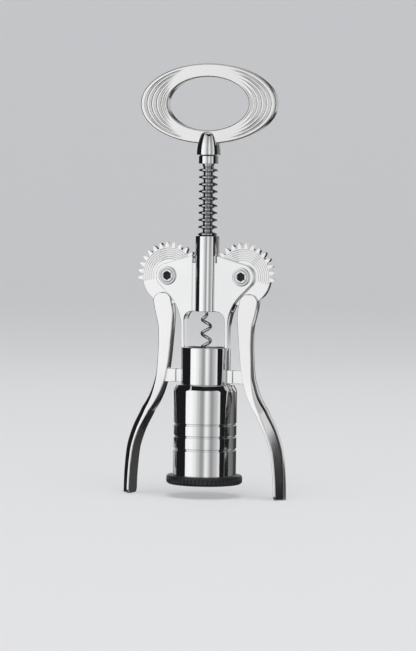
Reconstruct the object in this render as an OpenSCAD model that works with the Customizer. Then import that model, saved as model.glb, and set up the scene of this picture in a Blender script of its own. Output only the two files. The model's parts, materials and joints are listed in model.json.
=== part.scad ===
// Lever corkscrew with two geared levers, a ring-grooved rack and a bell with a sprung
// centring sleeve. Origin on the spindle axis, level with the lever tips.
// +Z runs up the spindle and the levers swing in the XZ plane, with the front at -Y.

/* [Bell and foot] */
// Height of the foot ring's underside above the lever tips
foot_z = 8.4; // [8:0.1:9]
// Outer radius of the foot ring
foot_r = 25.3; // [25:0.1:26]
// Height of the foot ring
foot_h = 6; // [5.6:0.1:6.4]
// Outer radius of the bell
bell_r = 21.2; // [21:0.1:21.6]
// Height of the bell's top face above the lever tips
bell_top_z = 74.9; // [74.6:0.1:75.1]
// Radius of the hole that takes the bottle's lip
bottle_bore_r = 15.5; // [15.3:0.1:15.6]
// How far the centring sleeve can be pushed up
sleeve_travel = 8; // [5:0.5:8]

/* [Frame] */
// Outer radius of the collar
collar_r = 16.6; // [16.5:0.1:17]
// Height of the collar's top edge above the lever tips
collar_top_z = 99.4; // [99:0.1:100]
// Outer radius of the guide tube
tube_r = 8.1; // [8:0.05:8.3]
// Height of the guide tube's lower end
tube_low_z = 123.1; // [123:0.1:124]
// Height of the guide tube's upper end
tube_top_z = 173.2; // [172.5:0.1:173.2]
// Depth of the frame at the ears, front to back
ear_depth = 10.4; // [10.2:0.1:11]

/* [Gears and rack] */
// Gear module
gear_module = 1.5; // [1.5]
// Number of teeth on a full gear
gear_teeth = 28; // [28]
// Thickness of each gear plate
gear_t = 4; // [3.8:0.1:4]
// Pitch radius of the ring-grooved rack
rack_pitch_r = 5; // [5]
// Height of the lever pivots
pivot_z = 146.6; // [146.6]

/* [Levers] */
// Distance of each lever tip from the spindle axis
tip_x = 54; // [53:0.5:55]
// Depth of a lever's grip blade, front to back
blade_depth = 15.6; // [14:0.2:16]

/* [Handle] */
// Width of the handle ring
ring_w = 95.2; // [90:0.2:98]
// Height of the handle ring
ring_h = 53; // [52.6:0.1:53.4]
// Width of the finger hole
hole_w = 57.3; // [54:0.1:58]
// Height of the finger hole
hole_h = 35.2; // [34.8:0.1:35.4]
// Thickness of the handle ring
ring_t = 7; // [6.6:0.1:7]
// Height of the handle ring's centre
ring_z = 260.8; // [260.6:0.1:261]

/* [Worm] */
// Outer radius of the worm's helix
worm_r = 3.95; // [3.8:0.05:4]
// Diameter of the worm's wire
wire_d = 2.2; // [2:0.1:2.2]
// Height climbed in one turn of the worm
worm_pitch = 9.5; // [9:0.1:10]

/* [Hidden] */
$fn = 96;
eps = 0.01;

// Frame
collar_bore_r = 13.2;
spigot_r = 15;
spigot_low_z = 68;
tube_bore_r = 7.2;
leg_in_x = 14.3;
leg_out_x = 16.4;
leg_half_depth = 3.4;
leg_taper_low_z = 104;
leg_taper_top_z = 124;
plate_in_x = 8.6;
plate_top_z = 160.1;
web_half_depth = 4.2;
ear_r = 8.4;
ear_line_len = 10;
lug_half_depth = 3;
lug_low_z = 75.8;
lug_top_z = 84.6;
lug_gap_x = 20.1;
lug_gap = 0.4;

// Gears, rack and pivots
pressure_angle = 20;
gear_backlash = 0.16;
gear_r = gear_module * gear_teeth / 2;
gear_tip_r = gear_r + gear_module;
gear_root_r = gear_r - 1.25 * gear_module;
gear_base_r = gear_r * cos(pressure_angle);
tooth_step = 360 / gear_teeth;
teeth_on_sector = 17;
rack_pitch = PI * gear_module;
rack_tip_r = 6.4;
rack_root_r = 3.3;
rack_low_z = 129;
rack_rings_low = -3;
rack_rings_high = 15;
rack_phase = -0.5;
rack_bore_r = 2.05;
rack_land = 1.2;
pivot_x = gear_r + rack_pitch_r;
gear_gap_angle = 180 - rack_phase / gear_r * 180 / PI;
pocket_r = gear_tip_r + 0.7;
pocket_half = gear_t / 2 + 0.4;
bush_bore_r = 6.46;
pivot_r = 4;
pivot_running_gap = 0.05;
pivot_bush_r = 5.5;
bolt_head_r = 6.2;
bolt_head_proud = 1.2;
bolt_head_sunk = 0.8;
socket_af = 5;
washer_t = 0.3;
washer_r = 7.4;

// Bell
bell_wall = 2.2;
bell_in_r = bell_r - bell_wall;
bell_roof = 3;
bell_low_z = foot_z + 4;
bell_chamfer_in = 19.1;
bell_chamfer_h = 3.8;
groove_depth = 0.6;
groove_w = 1.5;
groove_z = [31.8, 40.5, 48.5];
foot_in_r = 17.3;
foot_top_z = foot_z + foot_h;
sleeve_r = 17;
sleeve_low_z = 9;
sleeve_top_z = 59;
flange_low_z = 14.5;
flange_top_z = 17;
spring_mean_r = 18;
spring_wire_r = 0.5;
spring_turns = 7;

// Spindle and handle
shaft_r = 2;
shaft_low_z = 124;
shaft_top_z = 234.2;
hub_r = 4.4;
hub_low_z = 123.4;
hub_top_z = 128.7;
collar_low_z = 221;
collar_high_z = 226.2;
rack_collar_r = 6.65;
rack_spigot_r = 4;
neck_low_z = 226.7;
neck_low_r = 8.1;
ogive_r = 34;
ogive_angle = 22.8;
neck_slot_z = 231.5;
neck_round = 3;
pin_r = 1.5;
pin_z = 236.4;
wire_r = wire_d / 2;
stub_top_z = 133;
worm_start_z = 122.2;
worm_turns = 5.75;
worm_steps = 20;
worm_taper_turns = 0.8;
ring_edge = 1;

// Levers: [x, z, width, half depth] down the middle of the right-hand arm
arm_stations = [
    [30.6, 130, 13.6, 3.4],
    [29.1, 122, 13.4, 3.4],
    [28.3, 114, 11.2, 3.5],
    [28.5, 103, 9.7, 3.6],
    [29.3, 91, 8.9, 3.8],
    [30.6, 80, 8, 4.4],
    [32.6, 73, 7.6, 5.2],
    [36, 65, 7.2, 6.3],
    [41, 57, 6.9, 7.2],
    [47.4, 44.5, 6.6, blade_depth / 2],
    [51.6, 32, 6.4, blade_depth / 2],
    [tip_x - 0.6, 16, 6.2, blade_depth / 2],
    [tip_x, 0, 6, blade_depth / 2]
];
arm_cap_h = 5.6;
arm_steps = 4;
tip_corner = 3;

// Cubic blend through four neighbouring stations
function blend(a, b, c, d, t) =
    0.5 * ((2 * b) + (c - a) * t + (2 * a - 5 * b + 4 * c - d) * t * t
    + (3 * b - a - 3 * c + d) * t * t * t);
function pick(list, i) = list[max(0, min(len(list) - 1, i))];
function smooth(list, steps) = [
    for (i = [0 : len(list) - 2])
        for (s = [0 : steps - 1])
            blend(pick(list, i - 1), list[i], list[i + 1], pick(list, i + 2), s / steps),
    list[len(list) - 1]
];
// Points of an arc in degrees
function arc(cx, cy, r, from, to, steps) = [
    for (i = [0 : steps])
        [cx + r * cos(from + (to - from) * i / steps), cy + r * sin(from + (to - from) * i / steps)]
];
function involute(angle) = tan(angle) * 180 / PI - angle;
function tooth_half(r) =
    (rack_pitch / 2 - gear_backlash) / 2 / gear_r * 180 / PI
    + involute(pressure_angle) - involute(acos(min(1, gear_base_r / r)));
function polar(r, angle) = [r * cos(angle), r * sin(angle)];

// Extrudes a front view drawn as (x, z) to a depth centred on y = 0
module front_view(depth) {
    rotate([90, 0, 0])
        linear_extrude(height = depth, center = true)
            children();
}

// Cylinder along Y between two y values
module y_cylinder(r, y_low, y_high) {
    translate([0, y_high, 0])
        rotate([90, 0, 0])
            cylinder(r = r, h = y_high - y_low);
}

// Tube along Z
module tube(r_out, r_in, z_low, z_high) {
    difference() {
        translate([0, 0, z_low])
            cylinder(r = r_out, h = z_high - z_low);
        translate([0, 0, z_low - 1])
            cylinder(r = r_in, h = z_high - z_low + 2);
    }
}

// Round wire swept along centre points that are never one above the other, closed at both ends
module wire(path, radii, sides) {
    count = len(path);
    points = [
        for (i = [0 : count - 1])
            let (ahead = pick(path, i + 1) - pick(path, i - 1))
            let (t = ahead / norm(ahead))
            let (side = cross(t, [0, 0, 1]))
            let (u = side / norm(side))
            let (v = cross(t, u))
            for (k = [0 : sides - 1])
                path[i] + radii[i] * (cos(360 * k / sides) * u + sin(360 * k / sides) * v)
    ];
    walls = [
        for (i = [0 : count - 2])
            for (k = [0 : sides - 1])
                let (near = i * sides, far = near + sides, next = (k + 1) % sides)
                each [[near + k, far + k, far + next], [near + k, far + next, near + next]]
    ];
    start_cap = [[for (k = [0 : sides - 1]) k]];
    end_cap = [[for (k = [sides - 1 : -1 : 0]) (count - 1) * sides + k]];
    polyhedron(points = points, faces = concat(walls, start_cap, end_cap));
}

// Right-hand half of the frame's plate, seen from the front
function plate_outline() =
    let (corner = [plate_in_x - pivot_x, plate_top_z - pivot_z])
    let (touch = atan2(corner[1], corner[0]) - acos(ear_r / norm(corner)))
    let (foot = [pivot_x, pivot_z] + polar(ear_r, -45) + polar(ear_line_len, -135))
    let (sweep_r = (foot[0] - leg_out_x) / (1 - cos(45)))
    concat(
        [[leg_in_x, collar_top_z - 2]],
        arc(plate_in_x, tube_low_z - leg_in_x + plate_in_x, leg_in_x - plate_in_x, 0, 90, 10),
        [[plate_in_x, plate_top_z]],
        arc(pivot_x, pivot_z, ear_r, touch, -45, 24),
        arc(leg_out_x + sweep_r, foot[1] - sweep_r * sin(45), sweep_r, 135, 180, 10),
        [[leg_out_x, collar_top_z - 2]]
    );

module side_profile() {
    half = ear_depth / 2;
    rotate([90, 0, 90])
        linear_extrude(height = 120, center = true)
            polygon([
                [-leg_half_depth, collar_top_z - 2],
                [leg_half_depth, collar_top_z - 2],
                [leg_half_depth, leg_taper_low_z],
                [half, leg_taper_top_z],
                [half, plate_top_z + 10],
                [-half, plate_top_z + 10],
                [-half, leg_taper_top_z],
                [-leg_half_depth, leg_taper_low_z]
            ]);
}

module frame_plates() {
    intersection() {
        union() {
            front_view(ear_depth)
                polygon(plate_outline());
            mirror([1, 0, 0])
                front_view(ear_depth)
                    polygon(plate_outline());
        }
        side_profile();
    }
}

module collar_lug() {
    translate([collar_r - 1.5, -lug_half_depth, lug_low_z])
        cube([lug_gap_x - lug_gap / 2 - collar_r + 1.5, 2 * lug_half_depth, lug_top_z - lug_low_z]);
}

module pivot_holes(side) {
    half = ear_depth / 2;
    translate([side * pivot_x, 0, pivot_z]) {
        y_cylinder(pivot_r, -half - 1, half + 1);
        y_cylinder(bolt_head_r, -half - 1, -half + bolt_head_sunk);
        y_cylinder(bolt_head_r, half - bolt_head_sunk, half + 1);
        y_cylinder(pocket_r, -pocket_half, pocket_half);
    }
}

module frame_casting() {
    color("silver")
        difference() {
            union() {
                frame_plates();
                translate([-plate_in_x - 1, -web_half_depth, tube_low_z])
                    cube([2 * plate_in_x + 2, 2 * web_half_depth, plate_top_z - tube_low_z - 4]);
                translate([0, 0, tube_low_z])
                    cylinder(r = tube_r, h = tube_top_z - tube_low_z);
                translate([0, 0, bell_top_z])
                    cylinder(r = collar_r, h = collar_top_z - bell_top_z);
                translate([0, 0, spigot_low_z])
                    cylinder(r = spigot_r, h = bell_top_z - spigot_low_z + 1);
                collar_lug();
                mirror([1, 0, 0])
                    collar_lug();
            }
            translate([0, 0, tube_low_z - 1])
                cylinder(r = tube_bore_r, h = tube_top_z - tube_low_z + 2);
            translate([0, 0, spigot_low_z - 1])
                cylinder(r = collar_bore_r, h = collar_top_z - spigot_low_z + 2);
            pivot_holes(1);
            pivot_holes(-1);
        }
}

module upper_guide_bush() {
    color("dimgray")
        tube(tube_bore_r, bush_bore_r, tube_top_z - 8, tube_top_z);
}

module lower_guide_bush() {
    color("dimgray")
        tube(tube_bore_r, bush_bore_r, tube_low_z, tube_low_z + 8);
}

function groove_points(z) = [
    [bell_r, z - groove_w / 2],
    [bell_r - groove_depth, z - groove_w / 4],
    [bell_r - groove_depth, z + groove_w / 4],
    [bell_r, z + groove_w / 2]
];

module bell_shell() {
    color("silver")
        rotate_extrude()
            polygon(concat(
                [[bell_in_r, bell_low_z], [bell_r, bell_low_z]],
                [for (z = groove_z) each groove_points(z)],
                [[bell_r, bell_top_z - bell_chamfer_h], [bell_chamfer_in, bell_top_z]],
                [[spigot_r, bell_top_z], [spigot_r, bell_top_z - bell_roof]],
                [[bell_in_r, bell_top_z - bell_roof]]
            ));
}

module foot_ring() {
    color([0.08, 0.08, 0.09])
        rotate_extrude()
            polygon([
                [foot_in_r, foot_z],
                [foot_r - 0.7, foot_z],
                [foot_r, foot_z + 0.7],
                [foot_r, foot_top_z - 0.8],
                [foot_r - 0.8, foot_top_z],
                [bell_r, foot_top_z],
                [bell_r, bell_low_z],
                [foot_in_r, bell_low_z]
            ]);
}

module sleeve_retainer() {
    color("dimgray")
        tube(bell_in_r, sleeve_r + 0.1, bell_low_z, flange_low_z - 0.1);
}

module centring_sleeve() {
    color("gainsboro")
        rotate_extrude()
            polygon([
                [bottle_bore_r, sleeve_low_z + 2],
                [bottle_bore_r + 1, sleeve_low_z],
                [sleeve_r, sleeve_low_z],
                [sleeve_r, flange_low_z],
                [bell_in_r - 0.1, flange_low_z],
                [bell_in_r - 0.1, flange_top_z],
                [sleeve_r, flange_top_z],
                [sleeve_r, sleeve_top_z],
                [bottle_bore_r, sleeve_top_z]
            ]);
}

module centring_spring() {
    steps = spring_turns * 16;
    low = flange_top_z + spring_wire_r + 0.1;
    rise = bell_top_z - bell_roof - spring_wire_r - 0.1 - low;
    path = [
        for (i = [0 : steps])
            let (angle = 360 * spring_turns * i / steps)
            [spring_mean_r * cos(angle), spring_mean_r * sin(angle), low + rise * i / steps]
    ];
    color("gray")
        wire(path, [for (p = path) spring_wire_r], 6);
}

module pivot_bolt(side) {
    front = -ear_depth / 2 - bolt_head_proud;
    seat = -ear_depth / 2 + bolt_head_sunk;
    color("silver")
        translate([side * pivot_x, 0, pivot_z])
            difference() {
                union() {
                    y_cylinder(bolt_head_r - 0.6, front, seat);
                    y_cylinder(bolt_head_r, front + 0.6, seat);
                    y_cylinder(pivot_r, seat - eps, ear_depth / 2 - bolt_head_sunk);
                    y_cylinder(pivot_r - 1, seat, ear_depth / 2);
                }
                translate([0, front + 2, 0])
                    rotate([90, 0, 0])
                        cylinder(r = socket_af / 2 / cos(30), h = 3, $fn = 6);
            }
}

module pivot_nut(side) {
    seat = ear_depth / 2 - bolt_head_sunk;
    back = ear_depth / 2 + bolt_head_proud;
    color("silver")
        translate([side * pivot_x, 0, pivot_z])
            difference() {
                union() {
                    y_cylinder(bolt_head_r, seat, back - 0.6);
                    y_cylinder(bolt_head_r - 0.6, seat, back);
                }
                y_cylinder(pivot_r - 1, seat - 1, ear_depth / 2);
            }
}

module left_pivot_bolt() {
    pivot_bolt(-1);
}

module right_pivot_bolt() {
    pivot_bolt(1);
}

module left_pivot_nut() {
    pivot_nut(-1);
}

module right_pivot_nut() {
    pivot_nut(1);
}

module thrust_washers(side) {
    gap = (pocket_half - gear_t / 2 - washer_t) / 2;
    color("gray")
        translate([side * pivot_x, 0, pivot_z])
            for (face = [-1, 1])
                translate([0, face * (gear_t / 2 + gap + washer_t / 2), 0])
                    difference() {
                        y_cylinder(washer_r, -washer_t / 2, washer_t / 2);
                        y_cylinder(pivot_r, -1, 1);
                    }
}

module left_thrust_washers() {
    thrust_washers(-1);
}

module right_thrust_washers() {
    thrust_washers(1);
}

// One involute tooth at the given angle, as a prism rooted in the gear's rim
module gear_tooth(angle) {
    flank_steps = 5;
    flank = [
        for (i = [0 : flank_steps])
            let (r = gear_base_r + (gear_tip_r - gear_base_r) * i / flank_steps)
            [r, tooth_half(r)]
    ];
    last = flank_steps;
    rotate([90, 0, 0])
        linear_extrude(height = gear_t, center = true)
            polygon(concat(
                [polar(gear_root_r - 1, angle + flank[0][1])],
                [for (i = [0 : last]) polar(flank[i][0], angle + flank[i][1])],
                [for (i = [last : -1 : 0]) polar(flank[i][0], angle - flank[i][1])],
                [polar(gear_root_r - 1, angle - flank[0][1])]
            ));
}

// Both edges of the arm as one outline, with a rounded top
function arm_outline(path) =
    let (count = len(path))
    let (normals = [
        for (i = [0 : count - 1])
            let (ahead = pick(path, i + 1) - pick(path, i - 1))
            [-ahead[1], ahead[0]] / norm([ahead[0], ahead[1]])
    ])
    let (half = path[0][2] / 2)
    concat(
        [for (a = [15 : 15 : 165])
            [path[0][0] - half * cos(a), path[0][1] + arm_cap_h * sin(a)]],
        [for (i = [0 : count - 1]) [path[i][0], path[i][1]] + path[i][2] / 2 * normals[i]],
        [for (i = [count - 1 : -1 : 0]) [path[i][0], path[i][1]] - path[i][2] / 2 * normals[i]]
    );

// Depth of the arm seen from the side
module arm_side(path) {
    depths = [for (p = path) if (p[1] > tip_corner + 1) p];
    rotate([90, 0, 90])
        linear_extrude(height = 140, center = true)
            polygon(concat(
                [[depths[0][3], path[0][1] + arm_cap_h + 1]],
                [for (p = depths) [p[3], p[1]]],
                arc(blade_depth / 2 - tip_corner, tip_corner, tip_corner, 0, -90, 6),
                arc(tip_corner - blade_depth / 2, tip_corner, tip_corner, 270, 180, 6),
                [for (i = [len(depths) - 1 : -1 : 0]) [-depths[i][3], depths[i][1]]],
                [[-depths[0][3], path[0][1] + arm_cap_h + 1]]
            ));
}

module right_lever_solid() {
    path = smooth(arm_stations, arm_steps);
    difference() {
        union() {
            translate([pivot_x, 0, pivot_z]) {
                y_cylinder(gear_root_r, -gear_t / 2, gear_t / 2);
                for (i = [0 : teeth_on_sector - 1])
                    gear_tooth(gear_gap_angle + tooth_step * (1.5 - i));
            }
            intersection() {
                front_view(blade_depth + 1)
                    polygon(arm_outline(path));
                arm_side(path);
            }
            translate([lug_gap_x + lug_gap / 2, -lug_half_depth, lug_low_z])
                cube([8, 2 * lug_half_depth, lug_top_z - lug_low_z]);
        }
        translate([pivot_x, 0, pivot_z])
            y_cylinder(pivot_bush_r, -gear_t, gear_t);
    }
}

module right_lever() {
    color("silver")
        right_lever_solid();
}

module left_lever() {
    color("silver")
        mirror([1, 0, 0])
            right_lever_solid();
}

module pivot_bush(side) {
    color("darkgoldenrod")
        translate([side * pivot_x, 0, pivot_z])
            difference() {
                y_cylinder(pivot_bush_r, -gear_t / 2, gear_t / 2);
                y_cylinder(pivot_r + pivot_running_gap, -gear_t, gear_t);
            }
}

module left_pivot_bush() {
    pivot_bush(-1);
}

module right_pivot_bush() {
    pivot_bush(1);
}

// One ring of the rack, drawn as (radius, z)
function rack_ring(z) =
    let (half_pitch_w = rack_pitch / 4)
    let (tip_half = half_pitch_w - (rack_tip_r - rack_pitch_r) * tan(pressure_angle))
    let (root_half = half_pitch_w + (rack_pitch_r - rack_root_r) * tan(pressure_angle))
    [
        [rack_root_r, z - root_half],
        [rack_tip_r, z - tip_half],
        [rack_tip_r, z + tip_half],
        [rack_root_r, z + root_half]
    ];

module rack_sleeve() {
    color("silver")
        rotate_extrude()
            polygon(concat(
                [[rack_bore_r, rack_low_z], [rack_root_r, rack_low_z]],
                [for (k = [rack_rings_low : rack_rings_high])
                    each rack_ring(pivot_z + rack_phase + k * rack_pitch)],
                [[rack_spigot_r, collar_low_z - rack_land], [rack_spigot_r, collar_high_z - 1]],
                [[rack_bore_r, collar_high_z - 1]]
            ));
}

module rack_collar() {
    color("silver")
        difference() {
            translate([0, 0, collar_low_z])
                cylinder(r = rack_collar_r, h = collar_high_z - collar_low_z);
            translate([0, 0, collar_low_z - 1])
                cylinder(r = rack_spigot_r, h = collar_high_z - collar_low_z);
            translate([0, 0, collar_low_z])
                cylinder(r = rack_bore_r + 0.3, h = collar_high_z);
        }
}

module rack_thrust_washer() {
    color("gray")
        tube(rack_collar_r - 0.8, rack_bore_r, collar_high_z, neck_low_z - 0.1);
}

module spindle_shaft() {
    color("gray")
        difference() {
            translate([0, 0, shaft_low_z])
                cylinder(r = shaft_r, h = shaft_top_z - shaft_low_z);
            translate([0, 0, shaft_low_z - 1])
                cylinder(r = wire_r, h = stub_top_z - shaft_low_z + 1);
        }
}

module worm_hub() {
    color("gray")
        difference() {
            tube(hub_r, shaft_r, hub_low_z, hub_top_z);
            translate([0, 0, (hub_low_z + hub_top_z) / 2])
                rotate([0, 90, 0])
                    cylinder(r = 1, h = hub_r + 1);
        }
}

module hub_set_screw() {
    color("dimgray")
        translate([0, 0, (hub_low_z + hub_top_z) / 2])
            rotate([0, 90, 0])
                difference() {
                    translate([0, 0, shaft_r + 0.02])
                        cylinder(r = 1, h = hub_r - shaft_r - 0.4);
                    translate([0, 0, hub_r - 1])
                        cylinder(r = 0.5, h = 2, $fn = 6);
                }
}

// Centre line of the worm: a right-hand helix that widens from the axis in its first half turn
function worm_radius_at(turn) = (worm_r - wire_d / 2) * min(1, turn / 0.5);
function worm_path() = [
    for (i = [0 : worm_turns * worm_steps])
        let (turn = i / worm_steps)
        let (angle = -360 * turn)
        concat(polar(worm_radius_at(turn), angle), worm_start_z - worm_pitch * turn)
];

module worm() {
    path = worm_path();
    count = len(path);
    taper = worm_taper_turns * worm_steps;
    color("gray") {
        wire(path, [for (i = [0 : count - 1]) wire_r * min(1, (count - i) / taper)], 8);
        translate([0, 0, worm_start_z - 0.5])
            cylinder(r = wire_r, h = stub_top_z - worm_start_z + 0.5);
    }
}

module handle_neck() {
    ogive_end = [neck_low_r - ogive_r, neck_low_z + 0.6] + polar(ogive_r, ogive_angle);
    shoulder = ogive_end - polar(neck_round, ogive_angle);
    color("silver")
        difference() {
            rotate_extrude()
                polygon(concat(
                    [[shaft_r, neck_low_z], [neck_low_r - 0.6, neck_low_z]],
                    arc(neck_low_r - ogive_r, neck_low_z + 0.6, ogive_r, 0, ogive_angle, 8),
                    arc(shoulder[0], shoulder[1], neck_round, ogive_angle, 90, 8),
                    [[0, shoulder[1] + neck_round], [0, shaft_top_z], [shaft_r, shaft_top_z]]
                ));
            translate([-10, -ring_t / 2, neck_slot_z])
                cube([20, ring_t, 20]);
            translate([0, 0, pin_z])
                y_cylinder(pin_r, -ring_t / 2 - 0.5, 10);
        }
}

function ellipse(w, h, steps) = [
    for (i = [0 : steps - 1])
        [w / 2 * cos(360 * i / steps), h / 2 * sin(360 * i / steps)]
];

module handle_ring() {
    tang_half = 4;
    color("gainsboro")
        difference() {
            union() {
                translate([0, 0, ring_z]) {
                    front_view(ring_t - 2 * ring_edge)
                        polygon(ellipse(ring_w, ring_h, 120));
                    front_view(ring_t)
                        polygon(ellipse(ring_w - 2 * ring_edge, ring_h - 2 * ring_edge, 120));
                }
                translate([-tang_half, -ring_t / 2, neck_slot_z])
                    cube([2 * tang_half, ring_t, 10]);
            }
            translate([0, 0, ring_z])
                front_view(ring_t + 2)
                    polygon(ellipse(hole_w, hole_h, 120));
            translate([0, 0, neck_slot_z - 1])
                cylinder(r = shaft_r + 0.2, h = shaft_top_z - neck_slot_z + 1.3);
            translate([0, 0, pin_z])
                y_cylinder(pin_r, -ring_t, ring_t);
        }
}

module handle_pin() {
    color("silver")
        translate([0, 0, pin_z])
            y_cylinder(pin_r, -ring_t / 2 - 0.5, 4.4);
}

frame_casting();
upper_guide_bush();
lower_guide_bush();
bell_shell();
foot_ring();
sleeve_retainer();
centring_sleeve();
centring_spring();
left_pivot_bolt();
right_pivot_bolt();
left_pivot_nut();
right_pivot_nut();
left_thrust_washers();
right_thrust_washers();
left_lever();
right_lever();
left_pivot_bush();
right_pivot_bush();
rack_sleeve();
rack_collar();
rack_thrust_washer();
spindle_shaft();
worm_hub();
hub_set_screw();
worm();
handle_neck();
handle_ring();
handle_pin();
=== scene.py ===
"""Looks for the lever corkscrew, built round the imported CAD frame.

Every length is in millimetres until it becomes a vertex. The frame is the CAD's own:
+Z runs up the spindle, the levers swing in the XZ plane and the front faces -Y.
"""

import json
import math

import bmesh
import bpy
from mathutils import Matrix, Vector


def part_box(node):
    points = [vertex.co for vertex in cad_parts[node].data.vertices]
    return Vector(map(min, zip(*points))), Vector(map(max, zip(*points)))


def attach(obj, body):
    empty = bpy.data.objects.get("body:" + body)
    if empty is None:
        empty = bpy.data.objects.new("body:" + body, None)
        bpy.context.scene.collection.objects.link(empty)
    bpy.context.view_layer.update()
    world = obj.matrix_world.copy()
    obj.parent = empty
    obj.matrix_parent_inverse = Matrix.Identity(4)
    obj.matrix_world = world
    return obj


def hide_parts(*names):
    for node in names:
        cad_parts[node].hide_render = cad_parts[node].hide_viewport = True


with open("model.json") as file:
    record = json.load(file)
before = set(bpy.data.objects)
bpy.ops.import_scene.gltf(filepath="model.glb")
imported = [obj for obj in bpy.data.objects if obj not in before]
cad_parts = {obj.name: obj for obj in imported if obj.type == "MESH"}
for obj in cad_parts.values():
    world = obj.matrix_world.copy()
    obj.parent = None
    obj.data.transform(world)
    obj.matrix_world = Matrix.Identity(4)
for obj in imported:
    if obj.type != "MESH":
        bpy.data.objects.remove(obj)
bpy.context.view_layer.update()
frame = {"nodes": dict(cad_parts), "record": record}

MM = 0.001
TAU = 2 * math.pi


# ---------------------------------------------------------------- sizes from the frame


def box_mm(node):
    """Lowest and highest corner of a CAD node, in millimetres."""
    low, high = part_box(node)
    return low / MM, high / MM


bell_low, bell_high = box_mm("bell_shell")
foot_low, foot_high = box_mm("foot_ring")
cast_low, cast_high = box_mm("frame_casting")
rack_low, rack_high = box_mm("rack_sleeve")
collar_low, collar_high = box_mm("rack_collar")
neck_low, neck_high = box_mm("handle_neck")
ring_high = box_mm("handle_ring")[1]
bolt_low = box_mm("right_pivot_bolt")[0]
nut_low, nut_high = box_mm("right_pivot_nut")
bush_low, bush_high = box_mm("right_pivot_bush")
sleeve_low, sleeve_high = box_mm("centring_sleeve")
worm_high = box_mm("worm")[1]

PIVOT_X = (bush_low.x + bush_high.x) / 2
PIVOT_Z = (bush_low.z + bush_high.z) / 2
GEAR_HALF = (bush_high.y - bush_low.y) / 2
BOLT_SUNK = 0.8
EAR_HALF = nut_low.y + BOLT_SUNK
BELL_R = bell_high.x
FOOT_R = foot_high.x


# ---------------------------------------------------------------- mesh helpers


def finish_mesh(name, verts, faces, sharp_angle=32):
    """Makes an object from vertices in millimetres, smooth apart from its sharp edges."""
    mesh = bpy.data.meshes.new(name)
    mesh.from_pydata([tuple(c * MM for c in v) for v in verts], [], faces)
    mesh.validate()
    outward = bmesh.new()
    outward.from_mesh(mesh)
    bmesh.ops.recalc_face_normals(outward, faces=outward.faces)
    outward.to_mesh(mesh)
    outward.free()
    mesh.shade_smooth()
    mesh.set_sharp_from_angle(angle=math.radians(sharp_angle))
    piece = bpy.data.objects.new(name, mesh)
    bpy.context.scene.collection.objects.link(piece)
    flat_faces = piece.modifiers.new("flat faces", "WEIGHTED_NORMAL")
    flat_faces.keep_sharp = True
    return piece


def loft(rings, wrap=False, caps=True):
    """Skins rings of equal length. wrap joins the last ring to the first, caps closes both ends."""
    count = len(rings[0])
    verts = [p for ring in rings for p in ring]
    faces = []
    last = len(rings) if wrap else len(rings) - 1
    for i in range(last):
        near = i * count
        far = (i + 1) % len(rings) * count
        for k in range(count):
            after = (k + 1) % count
            faces.append((near + k, near + after, far + after, far + k))
    if caps and not wrap:
        faces.append(tuple(range(count - 1, -1, -1)))
        faces.append(tuple((len(rings) - 1) * count + k for k in range(count)))
    return verts, faces


def merge(*parts):
    """Several (verts, faces) pairs as one."""
    verts, faces = [], []
    for part_verts, part_faces in parts:
        shift = len(verts)
        verts += part_verts
        faces += [tuple(i + shift for i in face) for face in part_faces]
    return verts, faces


def mirrored(part):
    """The same part on the other side of the YZ plane, with its faces still outward."""
    verts, faces = part
    return [(-x, y, z) for x, y, z in verts], [tuple(reversed(face)) for face in faces]


def rounded(points, radii, steps, closed=True):
    """A polyline whose corners are rounded, with one radius for each point."""
    most_of_side = 0.48
    result = []
    count = len(points)
    for i, (point, radius) in enumerate(zip(points, radii)):
        corner = Vector(point)
        if radius <= 0 or (not closed and i in (0, count - 1)):
            result.append(tuple(corner))
            continue
        to_last = Vector(points[i - 1]) - corner
        to_next = Vector(points[(i + 1) % count]) - corner
        reach = min(radius, to_last.length * most_of_side, to_next.length * most_of_side)
        start = corner + to_last.normalized() * reach
        end = corner + to_next.normalized() * reach
        for s in range(steps + 1):
            t = s / steps
            bend = start * (1 - t) ** 2 + corner * 2 * t * (1 - t) + end * t ** 2
            result.append(tuple(bend))
    return result


def circle(radius, z, sides):
    """Ring of points round the Z axis."""
    return [
        (radius * math.cos(TAU * k / sides), radius * math.sin(TAU * k / sides), z)
        for k in range(sides)
    ]


def lathe(profile, segments, closed=True):
    """Turns (radius, z) points about Z. An open profile starts and ends on the axis or has caps."""
    return loft([circle(r, z, segments) for r, z in profile], wrap=closed, caps=not closed)


def turned_to_front(part, x, z):
    """Moves a part turned about Z so that its +Z end faces the front, at (x, z)."""
    verts, faces = part
    return [(x + px, -pz, z + py) for px, py, pz in verts], faces


def tube_along(path, radii, sides):
    """A round tube on a path that never runs straight up."""
    rings = []
    for i, (point, radius) in enumerate(zip(path, radii)):
        ahead = Vector(path[min(i + 1, len(path) - 1)]) - Vector(path[max(i - 1, 0)])
        side = ahead.cross(Vector((0, 0, 1))).normalized()
        up = side.cross(ahead).normalized()
        rings.append(
            [
                tuple(
                    Vector(point)
                    + radius * (math.cos(TAU * k / sides) * side + math.sin(TAU * k / sides) * up)
                )
                for k in range(sides)
            ]
        )
    return loft(rings)


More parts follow.
